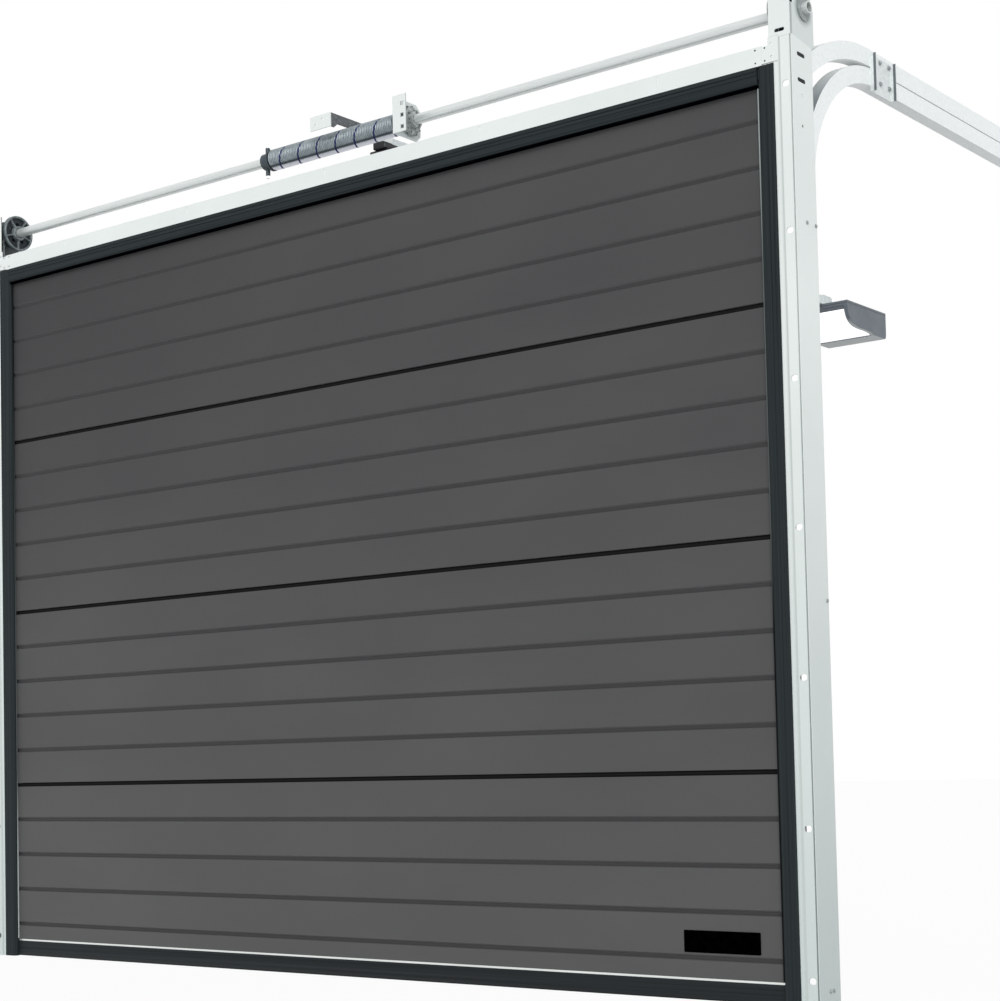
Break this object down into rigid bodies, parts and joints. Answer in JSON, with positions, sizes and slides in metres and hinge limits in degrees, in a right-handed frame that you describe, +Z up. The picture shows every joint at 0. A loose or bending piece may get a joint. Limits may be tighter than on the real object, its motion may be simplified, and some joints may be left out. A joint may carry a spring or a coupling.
{
  "type": "overhead sectional garage door",
  "caption": "Closed sectional overhead garage door with ribbed leaf, sealed frame, double tracks, torsion spring shaft and ceiling opener.",
  "frame": {"origin": "on the wall face of the head rail, at the middle of the door, 2013 mm above the floor", "axes": "+X across the door, +Y from the wall face into the garage, +Z up"},
  "size_m": [2.7, 2.932, 2.384],
  "materials": {
    "leaf_paint": "satin dark grey",
    "rubber": "matt",
    "white_steel": "satin white coating",
    "zinc_steel": "zinc coated",
    "aluminium": "mill",
    "cast_alloy": "as cast",
    "spring_steel": "grey coated with a blue stripe",
    "nylon": "moulded",
    "black_plastic": "moulded",
    "grey_plastic": "moulded",
    "lamp_plastic": "frosted"
  },
  "bodies": {
    "frame_and_leaf": {"arm_bracket": "zinc_steel", "bearing_bracket_left": "white_steel", "bearing_bracket_right": "white_steel", "bottom_brackets": "zinc_steel", "bottom_rail": "aluminium", "bottom_seal": "rubber", "corner_plates": "white_steel", "curved_tracks": "white_steel", "door_arm": "zinc_steel", "end_caps": "zinc_steel", "fixed_cone": "cast_alloy", "head_rail": "white_steel", "header_bracket": "white_steel", "joint_plates": "white_steel", "lift_cables": "zinc_steel", "lower_tracks": "white_steel", "middle_hinges": "zinc_steel", "motor_head": "grey_plastic", "motor_lamp": "lamp_plastic", "opener_rail": "zinc_steel", "rail_clip": "zinc_steel", "rear_hangers": "zinc_steel", "rollers": "nylon", "seal_left": "rubber", "seal_right": "rubber", "seal_top": "rubber", "section_1": "leaf_paint", "section_2": "leaf_paint", "section_3": "leaf_paint", "section_4": "leaf_paint", "side_hinges": "zinc_steel", "spring": "spring_steel", "spring_bracket": "white_steel", "stile_left": "white_steel", "stile_right": "white_steel", "top_carriers": "zinc_steel", "trolley": "black_plastic", "upper_tracks": "white_steel", "vertical_tracks": "white_steel"},
    "counterbalance_shaft": {"shaft": "zinc_steel", "drum_left": "cast_alloy", "drum_right": "cast_alloy", "winding_cone": "cast_alloy", "ratchet_wheel": "zinc_steel"}
  },
  "joints": [
    {"name": "shaft_turn", "type": "hinge", "parent": "frame_and_leaf", "child": "counterbalance_shaft", "pos_m": [0, 0.06, 0.114], "axis": [-1, 0, 0], "range_deg": [0, 2520]}
  ]
}
